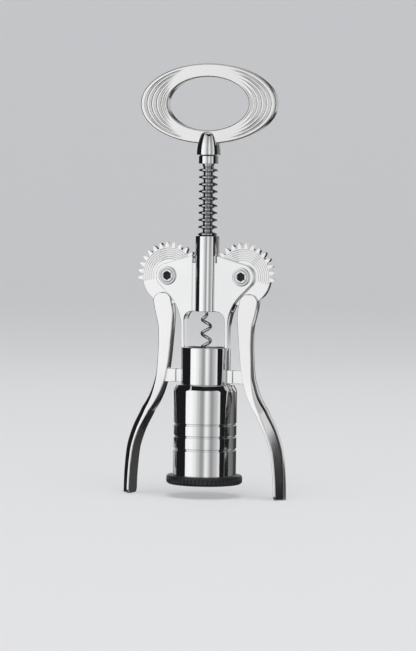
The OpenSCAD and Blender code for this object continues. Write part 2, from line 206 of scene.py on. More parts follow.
def plate(outline, y_front, y_back, round_edge):
    """A flat plate from a clockwise (x, z) outline, with rounded edges front and back."""
    steps = 3
    count = len(outline)
    inward = []
    for i in range(count):
        before, here, after = (Vector(outline[(i + d) % count]) for d in (-1, 0, 1))
        along = ((here - before).normalized() + (after - here).normalized()).normalized()
        inward.append(Vector((along.y, -along.x)))
    rings = []
    for side in (-1, 1):
        turns = range(steps + 1) if side < 0 else range(steps, -1, -1)
        for s in turns:
            angle = math.pi / 2 * s / steps
            inset = round_edge * (1 - math.sin(angle))
            depth = round_edge * (1 - math.cos(angle))
            y = y_front + depth if side < 0 else y_back - depth
            rings.append(
                [
                    (p[0] + n.x * inset, y, p[1] + n.y * inset)
                    for p, n in zip(outline, inward)
                ]
            )
    return loft(rings)


def arc(cx, cy, r, start, end, steps):
    """Points of an arc, with its angles in degrees."""
    return [
        (
            cx + r * math.cos(math.radians(start + (end - start) * i / steps)),
            cy + r * math.sin(math.radians(start + (end - start) * i / steps)),
        )
        for i in range(steps + 1)
    ]


def ease(low, high, value):
    """Smooth step from 0 at low to 1 at high."""
    t = min(1, max(0, (value - low) / (high - low)))
    return t * t * (3 - 2 * t)


def between(stations, z):
    """Smooth blend of the stations' values at a height. Stations run downwards, height first."""
    if z >= stations[0][0]:
        return stations[0][1:]
    for i in range(len(stations) - 1):
        high, low = stations[i], stations[i + 1]
        if high[0] >= z >= low[0]:
            before = stations[max(i - 1, 0)]
            after = stations[min(i + 2, len(stations) - 1)]
            t = (high[0] - z) / (high[0] - low[0])
            values = []
            for k in range(1, len(high)):
                values.append(cubic(before[k], high[k], low[k], after[k], t))
            return values
    return stations[-1][1:]


def cubic(a, b, c, d, t):
    """Catmull-Rom blend, as the CAD's own arm uses."""
    flat = (2 * b) + (c - a) * t
    return 0.5 * (flat + (2 * a - 5 * b + 4 * c - d) * t * t + (3 * b - a - 3 * c + d) * t ** 3)


# ---------------------------------------------------------------- materials


NOISE_LOW, NOISE_HIGH = 0.3, 0.7


class Nodes:
    """Short way to build a node material."""

    def __init__(self, name):
        self.material = bpy.data.materials.new(name)
        self.material.use_nodes = True
        self.tree = self.material.node_tree
        self.shader = self.tree.nodes["Principled BSDF"]
        self.place = self.add("ShaderNodeTexCoord").outputs["Object"]

    def add(self, kind):
        return self.tree.nodes.new(kind)

    def link(self, source, target):
        self.tree.links.new(source, target)

    def noise(self, scale, detail, stretch=(1, 1, 1)):
        mapping = self.add("ShaderNodeMapping")
        mapping.inputs["Scale"].default_value = stretch
        self.link(self.place, mapping.inputs["Vector"])
        texture = self.add("ShaderNodeTexNoise")
        texture.inputs["Scale"].default_value = scale
        texture.inputs["Detail"].default_value = detail
        self.link(mapping.outputs[0], texture.inputs["Vector"])
        return texture.outputs["Fac"]

    def spread(self, source, low, high, from_low=NOISE_LOW, from_high=NOISE_HIGH):
        """Maps a 0 to 1 texture to a range of values."""
        node = self.add("ShaderNodeMapRange")
        node.inputs["From Min"].default_value = from_low
        node.inputs["From Max"].default_value = from_high
        node.inputs["To Min"].default_value = low
        node.inputs["To Max"].default_value = high
        self.link(source, node.inputs["Value"])
        return node.outputs["Result"]

    def blend_colours(self, source, first, second):
        ramp = self.add("ShaderNodeValToRGB")
        ramp.color_ramp.elements[0].position = NOISE_LOW
        ramp.color_ramp.elements[0].color = (*first, 1)
        ramp.color_ramp.elements[1].position = NOISE_HIGH
        ramp.color_ramp.elements[1].color = (*second, 1)
        self.link(source, ramp.inputs["Fac"])
        return ramp.outputs["Color"]

    def bump(self, height, strength, distance, normal=None):
        node = self.add("ShaderNodeBump")
        node.inputs["Strength"].default_value = strength
        node.inputs["Distance"].default_value = distance
        self.link(height, node.inputs["Height"])
        if normal is not None:
            self.link(normal, node.inputs["Normal"])
        return node.outputs["Normal"]

    def set(self, **values):
        for key, value in values.items():
            self.shader.inputs[key.replace("_", " ")].default_value = value

    def feed(self, **sources):
        for key, source in sources.items():
            self.link(source, self.shader.inputs[key.replace("_", " ")])


def metal(name, light, dark, rough, hatch=None, scratch=0.06):
    """Metal with uneven polish, hairline scratches and, if asked, a machined hatch."""
    n = Nodes(name)
    n.set(Metallic=1.0)
    cloud = n.noise(scale=38, detail=5)
    fine = n.noise(scale=900, detail=3)
    hairline = n.noise(scale=700, detail=2, stretch=(1, 1, 0.04))
    n.feed(Base_Color=n.blend_colours(cloud, dark, light))
    n.feed(Roughness=n.spread(cloud, rough * 0.75, rough * 1.3))
    normal = n.bump(n.spread(hairline, 0, 1, 0.35, 0.65), strength=scratch, distance=0.00002)
    normal = n.bump(fine, strength=scratch * 0.6, distance=0.00001, normal=normal)
    if hatch:
        lines = n.noise(scale=2600, detail=2, stretch=hatch)
        normal = n.bump(lines, strength=0.35, distance=0.00003, normal=normal)
    n.feed(Normal=normal)
    return n.material


def polished_chrome():
    return metal("polished_chrome", (0.93, 0.935, 0.94), (0.88, 0.885, 0.895), 0.045)


def lever_chrome():
    return metal("lever_chrome", (0.95, 0.95, 0.95), (0.91, 0.91, 0.915), 0.13, scratch=0.05)


def satin_chrome():
    return metal("satin_chrome", (0.93, 0.93, 0.925), (0.87, 0.87, 0.87), 0.24, (1, 1, 0.15), 0.1)


def rack_chrome():
    return metal("rack_chrome", (0.62, 0.63, 0.65), (0.45, 0.46, 0.48), 0.1)


def turned_steel():
    return metal("turned_steel", (0.72, 0.72, 0.71), (0.6, 0.6, 0.6), 0.2, (0.1, 0.1, 4), 0.08)


def spring_steel():
    return metal("spring_steel", (0.52, 0.52, 0.54), (0.4, 0.4, 0.42), 0.28, None, 0.1)


def bolt_steel():
    return metal("bolt_steel", (0.8, 0.81, 0.82), (0.68, 0.69, 0.7), 0.12, (1, 0.2, 1), 0.08)


def worm_steel():
    return metal("worm_steel", (0.82, 0.82, 0.83), (0.66, 0.66, 0.67), 0.14, None, 0.12)


# Near-black base colour for the hex sockets: painted shade of the deep recess, not the bolt's own
# finish
def painted_shade_socket():
    return metal("painted_shade_socket", (0.05, 0.05, 0.052), (0.025, 0.025, 0.027), 0.4, None, 0.1)


def bush_brass():
    return metal("bush_brass", (0.85, 0.65, 0.33), (0.72, 0.52, 0.24), 0.22, None, 0.08)


def nylon(name, light, dark, rough):
    """Moulded nylon with a fine spark-eroded grain."""
    n = Nodes(name)
    grain = n.noise(scale=2200, detail=4)
    cloud = n.noise(scale=60, detail=4)
    n.feed(Base_Color=n.blend_colours(cloud, dark, light))
    n.feed(Roughness=n.spread(grain, rough * 0.8, rough * 1.25))
    n.feed(Normal=n.bump(grain, strength=0.25, distance=0.00006))
    n.set(Specular_IOR_Level=0.5)
    return n.material


def black_nylon():
    return nylon("black_nylon", (0.022, 0.022, 0.024), (0.012, 0.012, 0.013), 0.32)


def guide_nylon():
    return nylon("guide_nylon", (0.06, 0.06, 0.065), (0.035, 0.035, 0.04), 0.45)


MATERIALS = {
    "polished_chrome": polished_chrome(),
    "lever_chrome": lever_chrome(),
    "satin_chrome": satin_chrome(),
    "rack_chrome": rack_chrome(),
    "turned_steel": turned_steel(),
    "spring_steel": spring_steel(),
    "bolt_steel": bolt_steel(),
    "worm_steel": worm_steel(),
    "bush_brass": bush_brass(),
    "painted_shade_socket": painted_shade_socket(),
    "black_nylon": black_nylon(),
    "guide_nylon": guide_nylon(),
}


def place_piece(name, part, body, slot, *nodes, sharp_angle=32):
    """Makes the object, gives it its finish, lets it ride and hides the nodes it stands for."""
    piece = finish_mesh(name, *part, sharp_angle=sharp_angle)
    piece.data.materials.append(MATERIALS[slot])
    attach(piece, body)
    if nodes:
        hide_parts(*nodes)
    return piece


# ---------------------------------------------------------------- bell and foot


def bell():
    """Bell with three turned grooves, a bevelled shoulder and rounded edges."""
    groove_depth = 0.6
    groove_half = 0.75
    groove_heights = (31.8, 40.5, 48.5)
    shoulder_r = 19.1
    shoulder_drop = 3.8
    roof = 3
    wall = 2.2
    bore_r = BELL_R - wall
    spigot_r = 15
    top = bell_high.z
    points = [(bore_r, bell_low.z), (BELL_R, bell_low.z)]
    radii = [0.2, 0.25]
    for z in groove_heights:
        points += [
            (BELL_R, z - groove_half),
            (BELL_R - groove_depth, z - groove_half / 2),
            (BELL_R - groove_depth, z + groove_half / 2),
            (BELL_R, z + groove_half),
        ]
        radii += [0.16, 0.2, 0.2, 0.16]
    points += [(BELL_R, top - shoulder_drop), (shoulder_r, top), (spigot_r, top)]
    radii += [0.7, 0.6, 0.1]
    points += [(spigot_r, top - roof), (bore_r, top - roof)]
    radii += [0.1, 0.6]
    part = lathe(rounded(points, radii, 5), 192)
    place_piece("bell", part, "frame", "polished_chrome", "bell_shell")


def foot():
    """Foot ring with a glossy lip and a milled lower edge."""
    ribs = 56
    per_rib = 8
    deepest = 0.55
    crest = 0.6
    inner_r = 17.3
    chamfer_in, chamfer_up = 1.4, 1.2
    lip = 0.9
    low, high = foot_low.z, foot_high.z
    fade_in, fade_low, fade_high = FOOT_R - 0.6, low + 3.1, low + 3.9
    seat_z = bell_low.z
    points = [
        (inner_r, low), (FOOT_R - chamfer_in, low), (FOOT_R, low + chamfer_up), (FOOT_R, low + 3),
        (FOOT_R, high - lip), (FOOT_R - lip, high), (BELL_R, high), (BELL_R, seat_z),
        (inner_r, seat_z),
    ]
    profile = rounded(points, [0.3, 0.5, 0.7, 0.1, 0.6, 0.6, 0.1, 0, 0.2], 4)
    rings = []
    for r, z in profile:
        ribbed = ease(BELL_R, fade_in, r) * (1 - ease(fade_low, fade_high, z))
        ring = []
        for k in range(ribs * per_rib):
            wave = 0.5 - 0.5 * math.cos(TAU * k / per_rib)
            radius = r - deepest * ribbed * (1 - wave ** crest)
            angle = TAU * k / (ribs * per_rib)
            ring.append((radius * math.cos(angle), radius * math.sin(angle), z))
        rings.append(ring)
    place_piece("milled_foot_ring", loft(rings, wrap=True), "frame", "black_nylon", "foot_ring")


def centring_sleeve():
    """Sprung sleeve inside the bell, with a led-in mouth."""
    bore_r = 15.5
    lead_in, lead_up = 1, 2
    wall_r = 17
    flange_r = sleeve_high.x
    low, high = sleeve_low.z, sleeve_high.z
    flange_low, flange_high = 14.5, 17
    points = [
        (bore_r, low + lead_up), (bore_r + lead_in, low), (wall_r, low), (wall_r, flange_low),
        (flange_r, flange_low), (flange_r, flange_high), (wall_r, flange_high),
        (wall_r, high), (bore_r, high),
    ]
    profile = rounded(points, [0.6, 0.3, 0.2, 0.1, 0.25, 0.25, 0.1, 0.3, 0.3], 4)
    part = lathe(profile, 128)
    place_piece("turned_centring_sleeve", part, "sleeve", "turned_steel", "centring_sleeve")


# ---------------------------------------------------------------- frame casting


LEG_IN, LEG_OUT = 14.3, 16.4
LEG_LOW = 97.6
TUBE_LOW = 123.1
LUG_LOW, LUG_HIGH = 75.8, 84.6
LUG_HALF = 3
LUG_SOFT = 0.35


def collar():
    """Collar with softened rims, and the spigot that carries the bell."""
    outer_r = 16.6
    bore_r = 13.2
    spigot_r = 15
    low, top = cast_low.z, 99.4
    shoulder = bell_high.z
    points = [
        (bore_r, low), (spigot_r, low), (spigot_r, shoulder), (outer_r, shoulder),
        (outer_r, top), (bore_r, top),
    ]
    return lathe(rounded(points, [0.2, 0.2, 0.05, 0.3, 0.7, 0.5], 5), 160)


def guide_tube():
    """Tube that the rack slides in, between the ears."""
    outer_r = 8.1
    bore_r = 7.2
    low, high = TUBE_LOW, cast_high.z
    points = [(bore_r, low), (outer_r, low), (outer_r, high), (bore_r, high)]
    return lathe(rounded(points, [0.2, 0.35, 0.4, 0.25], 4), 128)


def plate_outline():
    """Right-hand half of the plate: leg, window arch, ear and sweep back to the leg."""
    plate_in, top = 8.6, 160.1
    ear_r, line = 8.4, 10
    corner = Vector((plate_in - PIVOT_X, top - PIVOT_Z))
    touch = math.degrees(math.atan2(corner.y, corner.x) - math.acos(ear_r / corner.length))
    diagonal = math.sqrt(0.5)
    foot_x = PIVOT_X + (ear_r - line) * diagonal
    foot_z = PIVOT_Z - (ear_r + line) * diagonal
    sweep = (foot_x - LEG_OUT) / (1 - diagonal)
    arch_r = LEG_IN - plate_in
    return (
        [(LEG_OUT, LEG_LOW), (LEG_IN, LEG_LOW)]
        + arc(plate_in, TUBE_LOW - arch_r, arch_r, 0, 90, 12)
        + [(plate_in, top)]
        + list(reversed(arc(PIVOT_X, PIVOT_Z, ear_r, -45, touch, 36)))
        + arc(LEG_OUT + sweep, foot_z - sweep * diagonal, sweep, 135, 180, 14)
    )


def frame_plates():
    """Front and back plates of the ears, thinner down the legs, with the gear's slot between them."""
    slot_half = GEAR_HALF + 0.4
    leg_half = 3.4
    taper_low, taper_high = 104, 124
    round_edge = 0.45
    outline = plate_outline()
    parts = []
    for front, back in ((-EAR_HALF, -slot_half), (slot_half, EAR_HALF)):
        verts, faces = plate(outline, front, back, round_edge)
        tapered = []
        for x, y, z in verts:
            reach = leg_half + (EAR_HALF - leg_half) * ease(taper_low, taper_high, z)
            squeeze = (reach - slot_half) / (EAR_HALF - slot_half)
            tapered.append((x, math.copysign(slot_half + (abs(y) - slot_half) * squeeze, y), z))
        parts.append((tapered, faces))
    return parts


def leg_core():
    """Fills a leg between its front and back plates, below the gear's slot."""
    high = 122.8
    half = GEAR_HALF + 0.6
    outline = [
        (LEG_OUT, LEG_LOW), (LEG_IN, LEG_LOW), (LEG_IN, 117), (13.6, high), (18.2, high),
        (16.5, 113),
    ]
    return plate(outline, -half, half, 0.1)


def web():
    """Bridge from the tube to each plate, above the window arch."""
    low, high = 123.5, 155.5
    inner, outer = 5, 10.5
    half = 4.2
    outline = [(outer, low), (inner, low), (inner, high), (outer, high)]
    return plate(outline, -half, half, 0.3)


def lug():
    """Stop on the collar for the lever's own lug."""
    inner, outer = 15.2, 19.9
    corners = [(outer, LUG_LOW), (inner, LUG_LOW), (inner, LUG_HIGH), (outer, LUG_HIGH)]
    outline = rounded(corners, [0.5, 0, 0, 0.5], 3)
    return plate(outline, -LUG_HALF, LUG_HALF, LUG_SOFT)


def casting():
    right = merge(*frame_plates(), leg_core(), web(), lug())
    part = merge(right, mirrored(right), collar(), guide_tube())
    place_piece("polished_frame", part, "frame", "polished_chrome", "frame_casting")


# ---------------------------------------------------------------- levers


GEAR_MODULE = 1.5
GEAR_TEETH = 28
PRESSURE_ANGLE = math.radians(20)
RACK_OFFSET = 0.5
GEAR_R = GEAR_MODULE * GEAR_TEETH / 2
GEAR_TIP = GEAR_R + GEAR_MODULE
GEAR_ROOT = GEAR_R - 1.25 * GEAR_MODULE
GEAR_BASE = GEAR_R * math.cos(PRESSURE_ANGLE)
FIRST_GAP = 180 + math.degrees(RACK_OFFSET / GEAR_R)
TOOTH_STEP = 360 / GEAR_TEETH
TEETH_ON_SECTOR = 17
GROOVES = (11.1, 12.5, 13.9, 15.3, 16.7, 18.1)
GROOVE_HALF = 0.34


def involute(angle):
    return math.tan(angle) - angle


def tooth_half(radius):
    """Half of a tooth's angle at a radius, in degrees."""
    backlash = 0.16
    at_pitch = (math.pi * GEAR_MODULE / 2 - backlash) / 2 / GEAR_R
    flank = math.acos(min(1, GEAR_BASE / radius))
    return math.degrees(at_pitch + involute(PRESSURE_ANGLE) - involute(flank))


def gear_outline():
    """(angle, radius) pairs round the gear: its teeth, then the plain root circle."""
    steps = 4
    fillet = 0.35
    flank_low = max(GEAR_BASE, GEAR_ROOT)
    pairs = []
    for i in range(TEETH_ON_SECTOR - 1, -1, -1):
        middle = FIRST_GAP + TOOTH_STEP * (1.5 - i)
        rising = []
        for s in range(steps + 1):
            radius = flank_low + (GEAR_TIP - flank_low) * s / steps
            rising.append((tooth_half(radius), radius))
        pairs.append((middle - rising[0][0] - fillet, GEAR_ROOT))
        pairs += [(middle - half, radius) for half, radius in rising]
        pairs.append((middle, GEAR_TIP))
        pairs += [(middle + half, radius) for half, radius in reversed(rising)]
        pairs.append((middle + rising[0][0] + fillet, GEAR_ROOT))
        pairs.append((middle + TOOTH_STEP / 2, GEAR_ROOT))
    start, end = pairs[-1][0], pairs[0][0] + 360
    plain = 90
    for i in range(1, plain):
        pairs.append((start + (end - start) * i / plain, GEAR_ROOT))
    return pairs


def groove_depth(radius, angle):
    """Depth of the concentric grooves in the gear's face."""
    deepest = 0.22
    turn = (angle + 90) % 360 - 90
    inside = ease(-16, -11, turn) * (1 - ease(199, 204, turn))
    depth = 0.0
    for groove in GROOVES:
        depth += max(0.0, 1 - abs(radius - groove) / GROOVE_HALF)
    return deepest * min(1, depth) * inside


def gear_disc():
    """Gear plate with its teeth, rounded edges and grooved faces, about the pivot."""
    hole_r = 5.5
    countersink = 0.25
    groove_floor = 0.12
    soft = 0.3
    pairs = gear_outline()
    radii = [hole_r, hole_r + countersink, 8.5, 10.6]
    for groove in GROOVES:
        radii += [groove - GROOVE_HALF, groove - groove_floor]
        radii += [groove + groove_floor, groove + GROOVE_HALF]
    radii += [18.7]
    front = []
    for r in radii:
        ring = []
        for angle, _ in pairs:
            drop = groove_depth(r, angle)
            if r == hole_r:
                drop = countersink
            ring.append((angle, r, GEAR_HALF - drop))
        front.append(ring)
    edge = ((soft, 0), (soft * 0.3, soft * 0.3), (0, soft))
    for inset, drop in edge:
        front.append([(a, radius - inset, GEAR_HALF - drop) for a, radius in pairs])
    rings = front + [[(a, r, -h) for a, r, h in ring] for ring in reversed(front)]
    placed = []
    for ring in rings:
        placed.append(
            [
                (
                    PIVOT_X + r * math.cos(math.radians(a)),
                    -h,
                    PIVOT_Z + r * math.sin(math.radians(a)),
                )
                for a, r, h in ring
            ]
        )
    return loft(placed, wrap=True)


# Height, middle, width and half depth of the right-hand arm, as the CAD has them, and how far
# its section has turned from a bar (0) into a blade with a flat inner face (1)
ARM = (
    (130, 30.6, 13.6, 3.4, 0),
    (122, 29.1, 13.4, 3.4, 0),
    (114, 28.3, 11.2, 3.5, 0),
    (103, 28.5, 9.7, 3.6, 0),
    (91, 29.3, 8.9, 3.8, 0),
    (80, 30.6, 8, 4.4, 0.05),
    (73, 32.6, 7.6, 5.2, 0.2),
    (65, 36, 7.2, 6.3, 0.45),
    (57, 41, 6.9, 7.2, 0.7),
    (44.5, 47.4, 6.6, 7.8, 0.92),
    (32, 51.6, 6.4, 7.8, 1),
    (16, 53.4, 6.2, 7.8, 1),
    (0, 54, 6, 7.8, 1),
)
ARM_TOP = 5.6
TIP_CORNER = 3
BLADE_EDGE = 1.5
BAR_CHAMFER = 0.9
SIDE_BULGE = 0.45


def arm_section(width, half_d, blade):
    """Section of the arm as (outwards, front to back): a bar, or a blade with a convex outer side."""
    inner, outer = -width / 2, width / 2
    facet = (width - BAR_CHAMFER) * (1 - blade) + BLADE_EDGE * blade
    shoulder = (half_d - BAR_CHAMFER) * (1 - blade) + half_d * 0.3 * blade
    bulge = SIDE_BULGE * (1 - blade)
    corners = [
        (inner + bulge, -half_d), (inner + facet, -half_d), (outer - bulge, -shoulder), (outer, 0),
        (outer - bulge, shoulder), (inner + facet, half_d), (inner + bulge, half_d), (inner, 0),
    ]
    soft = 0.5 + 3.5 * blade
    radii = [0.6, 0.5, soft, 3, soft, 0.5, 0.6, 3]
    return rounded(corners, radii, 6)


def lever_arm():
    """Arm from its domed top, down past the lug, to the rounded tip of the blade."""
    dome_z = ARM[0][0]
    dome_angles = (88, 80, 70, 58, 45, 32, 20, 8)
    thinning = 1.6
    heights = [dome_z + ARM_TOP * math.sin(math.radians(a)) for a in dome_angles]
    heights += range(dome_z, TIP_CORNER, -1)
    heights += [TIP_CORNER * (1 - math.sin(math.radians(a))) for a in range(0, 91, 15)]
    rings = []
    for z in heights:
        centre, width, half_d, blade = between(ARM, z)
        if z > dome_z:
            share = math.sqrt(1 - ((z - dome_z) / ARM_TOP) ** 2)
            width *= share
            half_d -= thinning * (1 - share) ** 2
        if z < TIP_CORNER:
            half_d -= TIP_CORNER - math.sqrt(TIP_CORNER ** 2 - (TIP_CORNER - z) ** 2)
        tilt = math.atan(between(ARM, z - 0.5)[0] - between(ARM, z + 0.5)[0])
        tilt *= ease(0, 6, z) * (1 - ease(dome_z - 4, dome_z, z))
        rings.append(
            [
                (centre + across * math.cos(tilt), deep, z + across * math.sin(tilt))
                for across, deep in arm_section(width, half_d, blade)
            ]
        )
    return loft(rings)


def lever_lug():
    """Lug on the arm that comes to rest beside the frame's."""
    inner, outer = 20.3, 28.3
    corners = [(outer, LUG_LOW), (inner, LUG_LOW), (inner, LUG_HIGH), (outer, LUG_HIGH)]
    outline = rounded(corners, [0, 0.5, 0.5, 0], 3)
    return plate(outline, -LUG_HALF, LUG_HALF, LUG_SOFT)


def lever(side):
    body = f"{side}_lever_arm"
    part = merge(gear_disc(), lever_arm(), lever_lug())
    if side == "left":
        part = mirrored(part)
    place_piece(f"{side}_geared_lever", part, body, "lever_chrome", f"{side}_lever")


# ---------------------------------------------------------------- pivots


SOCKET_AF = 5
BOLT_SIDES = 96


def hex_radius(angle, across_flats):
    """Distance from a hexagon's middle to its side."""
    wedge = (angle + math.pi / 6) % (math.pi / 3) - math.pi / 6
    return across_flats / 2 / math.cos(wedge)


def bolt_ring(radius, height):
    return circle(radius, height, BOLT_SIDES)


def hex_ring(grow, height):
    """Ring on the socket's hexagon, grown outwards by a little at its mouth."""
    ring = []
    for k in range(BOLT_SIDES):
        angle = TAU * k / BOLT_SIDES
        radius = hex_radius(angle, SOCKET_AF) + grow
        ring.append((radius * math.cos(angle), radius * math.sin(angle), height))
    return ring


def bolt_head(front):
    """Round head with a stepped rim, turned to face the front, down to the mouth of its socket."""
    rim_r = 6.2
    levels = [
        (rim_r, front - 2), (rim_r, front - 0.8), (rim_r - 0.15, front - 0.5),
        (rim_r - 0.5, front - 0.35), (5.1, front - 0.3), (4.95, front - 0.6), (4.6, front - 0.62),
        (4.45, front - 0.3), (4.25, front - 0.08), (4.0, front),
    ]
    rings = [bolt_ring(r, h) for r, h in levels]
    rings += [hex_ring(0.25, front), hex_ring(0.05, front - 0.12)]
    return loft(rings, caps=False)


def bolt_socket(front):
    """Hexagon socket with a drill point at its bottom."""
    rings = [hex_ring(0.05, front - 0.12), hex_ring(0, front - 0.3), hex_ring(0, front - 1)]
    rings += [bolt_ring(2.2, front - 1.05), bolt_ring(0.05, front - 1.15)]
    return loft(rings, caps=False)


def pivots(side):
    """Socket bolt with its shank through the ears, and the domed cap behind."""
    x = PIVOT_X if side == "right" else -PIVOT_X
    head = turned_to_front(bolt_head(-bolt_low.y), x, PIVOT_Z)
    shank_r = 4
    shank_ends = [(shank_r, -EAR_HALF + 0.2), (shank_r, EAR_HALF - 0.9)]
    shank = turned_to_front(lathe(shank_ends, 64, closed=False), x, PIVOT_Z)
    place_piece(
        f"{side}_socket_bolt", merge(head, shank), "frame", "bolt_steel", f"{side}_pivot_bolt"
    )
    socket = turned_to_front(bolt_socket(-bolt_low.y), x, PIVOT_Z)
    # The socket gets the near-black material: painted shade inside its deep recess
    recess = place_piece(f"{side}_bolt_socket", socket, "frame", "bolt_steel")
    recess.data.materials[0] = MATERIALS["painted_shade_socket"]
    rim = nut_high.x - PIVOT_X
    chamfer = 0.6
    back, seat = nut_high.y, nut_low.y
    corners = [(0, -back), (rim - chamfer, -back), (rim, -back + chamfer), (rim, -seat), (0, -seat)]
    profile = rounded(corners, [0, 0.2, 0.2, 0.1, 0], 3, closed=False)
    profile = [(max(r, 0.01), h) for r, h in profile]
    dome = turned_to_front(lathe(profile, 96, closed=False), x, PIVOT_Z)
    place_piece(f"{side}_pivot_cap", dome, "frame", "bolt_steel", f"{side}_pivot_nut")


# ---------------------------------------------------------------- rack and spindle


def rack():
    """Ring-grooved rack with rounded crests, and its plain stem into the collar."""
    pitch = math.pi * GEAR_MODULE
    tip_r, root_r, stem_r = 6.4, 3.3, 4
    bore_r = 2.05
    tip_half, root_half = 0.55, 1.75
    first = PIVOT_Z - RACK_OFFSET - 3 * pitch
    rings = 19
    points = [(bore_r, rack_low.z), (root_r, rack_low.z)]
    radii = [0.2, 0.3]
    for k in range(rings):
        z = first + k * pitch
        points += [
            (root_r, z - root_half), (tip_r, z - tip_half), (tip_r, z + tip_half),
            (root_r, z + root_half),
        ]
        radii += [0.35, 0.3, 0.3, 0.35]
    points += [(stem_r, collar_low.z - 1.2), (stem_r, rack_high.z), (bore_r, rack_high.z)]
    radii += [0.2, 0.1, 0.1]
    part = lathe(rounded(points, radii, 3), 96)
    place_piece("ring_rack", part, "rack", "rack_chrome", "rack_sleeve")


def rack_head():
    """Turned collar at the top of the rack."""
    bore_r, outer_r = 2.4, collar_high.x
    low, high = collar_low.z, collar_high.z
    points = [(bore_r, low), (outer_r, low), (outer_r, high), (bore_r, high)]
    profile = rounded(points, [0.1, 0.35, 0.3, 0.1], 4)
    place_piece("rack_head", lathe(profile, 96), "rack", "polished_chrome", "rack_collar")


def neck():
    """Bullet-shaped neck that clasps the handle ring."""
    base_r = neck_high.x
    low = neck_low.z
    bend, turn = 34, 22.8
    nose = 3
    start_z = low + 0.6
    cosine, sine = math.cos(math.radians(turn)), math.sin(math.radians(turn))
    end = Vector((base_r - bend + bend * cosine, start_z + bend * sine))
    centre = end - nose * Vector((cosine, sine))
    profile = [(0.01, low), (base_r - 0.5, low), (base_r - 0.15, low + 0.2)]
    profile += arc(base_r - bend, start_z, bend, 0, turn, 24)
    profile += arc(centre.x, centre.y, nose, turn, 90, 12)[1:]
    profile += [(0.01, centre.y + nose)]
    part = lathe(profile, 128, closed=False)
    place_piece("bullet_neck", part, "spindle", "polished_chrome", "handle_neck")


# Each groove's place across the ring, from rim to hole, and how far round it has faded out
RING_GROOVES = ((0.164, 0.37), (0.364, 0.5), (0.565, 0.62), (0.755, 0.72), (0.925, 0.79))


def rib_depth(share, cosine):
    """Depth of the handle's grooves, by how far in from the rim and how far round."""
    groove_half = 0.078
    fade_before, fade_after = 0.12, 0.3
    deepest = 0.4
    depth = 0.0
    for place, ends in RING_GROOVES:
        near = max(0.0, 1 - abs(share - place) / groove_half)
        shown = ease(ends - fade_before, ends + fade_after, abs(cosine))
        depth = max(depth, near * near * (3 - 2 * near) * shown)
    return deepest * depth


def ring_handle():
    """Oval ring with fanned grooves on both flanks of each face and a bright rounded rim."""
    half_w, half_h = ring_high.x, 26.5
    hole_w, hole_h = 28.65, 17.6
    centre_z = ring_high.z - half_h
    half_t = ring_high.y
    around, across = 288, 64
    rim_steps = 6
    soft = 1.1

    def ring_at(share, depth_at, inset):
        ring = []
        for k in range(around):
            angle = TAU * k / around
            c, s = math.cos(angle), math.sin(angle)
            outer = Vector(((half_w - inset) * c, (half_h - inset) * s))
            inner = Vector(((hole_w + inset) * c, (hole_h + inset) * s))
            spot = outer.lerp(inner, share)
            ring.append((spot.x, depth_at(c) - half_t, centre_z + spot.y))
        return ring

    turns = [math.pi / 2 * i / rim_steps for i in range(rim_steps + 1)]
    bends = [(soft * (1 - math.sin(a)), soft * (1 - math.cos(a))) for a in turns]
    front = [ring_at(0, lambda c, drop=drop: drop, inset) for drop, inset in bends]
    for i in range(1, across):
        share = i / across
        front.append(ring_at(share, lambda c, share=share: rib_depth(share, c), soft))
    front += [ring_at(1, lambda c, drop=drop: drop, inset) for drop, inset in reversed(bends)]
    back = [[(x, -y, z) for x, y, z in ring] for ring in reversed(front)]
    tang_half, tang_low, tang_high = 4, 231.5, 240
    tang_reach = half_t - 0.6
    corners = [
        (tang_half, tang_low), (-tang_half, tang_low), (-tang_half, tang_high),
        (tang_half, tang_high),
    ]
    tang = plate(corners, -tang_reach, tang_reach, 0.3)
    part = merge(loft(front + back, wrap=True), tang)
    place_piece("oval_ring_handle", part, "spindle", "satin_chrome", "handle_ring")


def worm_screw():
    """Open helix with a round wire that tapers to its point."""
    wire = 1.1
    mean = worm_high.x - wire
    pitch, turns = 9.5, 5.75
    top = 122.2
    steps = 40
    lead_in, taper = 0.5, 0.8
    point = 0.06
    overlap = 0.5
    path, radii = [], []
    for i in range(int(turns * steps) + 1):
        turn = i / steps
        radius = mean * min(1, turn / lead_in)
        angle = -TAU * turn
        path.append((radius * math.cos(angle), radius * math.sin(angle), top - pitch * turn))
        radii.append(wire * min(1, max(point, (turns - turn) / taper)))
    stem = lathe([(wire, top - overlap), (wire, worm_high.z)], 24, closed=False)
    part = merge(tube_along(path, radii, 16), stem)
    place_piece("helix_worm", part, "spindle", "worm_steel", "worm", sharp_angle=50)


# ---------------------------------------------------------------- finish on kept CAD nodes


def finish_kept_nodes():
    """Gives every CAD node still on show its material and softened edges."""
    slots = {row["node"]: row["material_slot"] for row in frame["record"]["subparts"]}
    for name, node in frame["nodes"].items():
        if node.hide_render:
            continue
        node.data.materials.clear()
        node.data.materials.append(MATERIALS[slots[name]])
        weld = node.modifiers.new("weld", "WELD")
        weld.merge_threshold = 0.00001
        flat = node.modifiers.new("planes", "DECIMATE")
        flat.decimate_type = "DISSOLVE"
        flat.angle_limit = math.radians(1)
        bevel = node.modifiers.new("soft edges", "BEVEL")
        bevel.width = 0.0001
        bevel.segments = 2
        bevel.limit_method = "ANGLE"
        bevel.angle_limit = math.radians(40)


# ---------------------------------------------------------------- studio


CAMERA_AZIMUTH = math.radians(20)
CAMERA_RISE = math.radians(2.5)
CAMERA_ROLL = math.radians(0.79)
CAMERA_DISTANCE = 1.95
CAMERA_AIM = Vector((0.0012, 0, 0.1138))
CAMERA_LENS = 162.3


